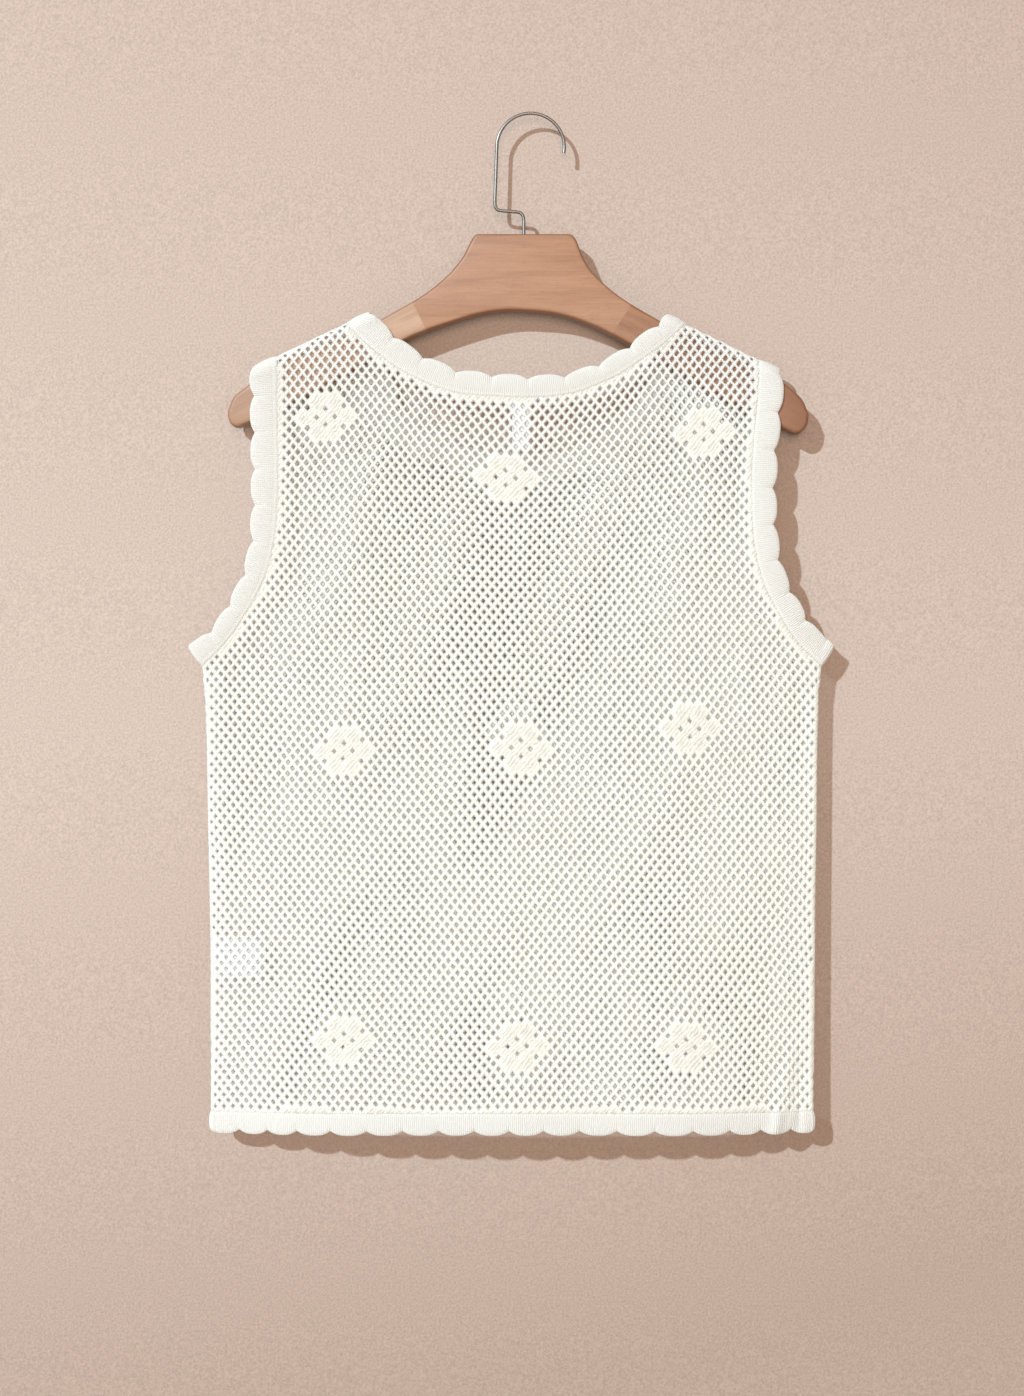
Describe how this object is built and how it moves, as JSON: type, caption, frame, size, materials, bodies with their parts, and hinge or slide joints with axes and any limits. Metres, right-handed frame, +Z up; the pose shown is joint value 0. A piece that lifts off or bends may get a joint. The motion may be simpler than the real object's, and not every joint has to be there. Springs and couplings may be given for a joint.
{
  "type": "crochet top on hanger",
  "caption": "Sleeveless ivory net-knit top with flower motifs and scalloped trims, hanging flat on a beech hanger with a steel wire hook.",
  "frame": {"origin": "on the inside of the hook's round top, where it rests on a rail", "axes": "+Z up, +X to the right as seen from the near side, +Y away from the near side: the back of the top faces -Y and its front faces +Y"},
  "size_m": [0.4694, 0.0471, 0.7415],
  "materials": {
    "net": "soft open net knit in matte cotton yarn",
    "trim": "dense knit in matte cotton yarn",
    "label": "smooth woven tape, blank",
    "beech": "sanded, satin varnish",
    "hook": "drawn wire, satin"
  },
  "bodies": {
    "root": {"back_panel": "net", "front_panel": "net", "neck_trim_back": "trim", "neck_trim_front": "trim", "armhole_trim_left": "trim", "armhole_trim_right": "trim", "hem_trim_back": "trim", "hem_trim_front": "trim", "neck_label": "label", "care_label": "label", "hanger_centre": "beech", "hanger_arm_left": "beech", "hanger_arm_right": "beech", "hook": "hook"}
  },
  "joints": []
}
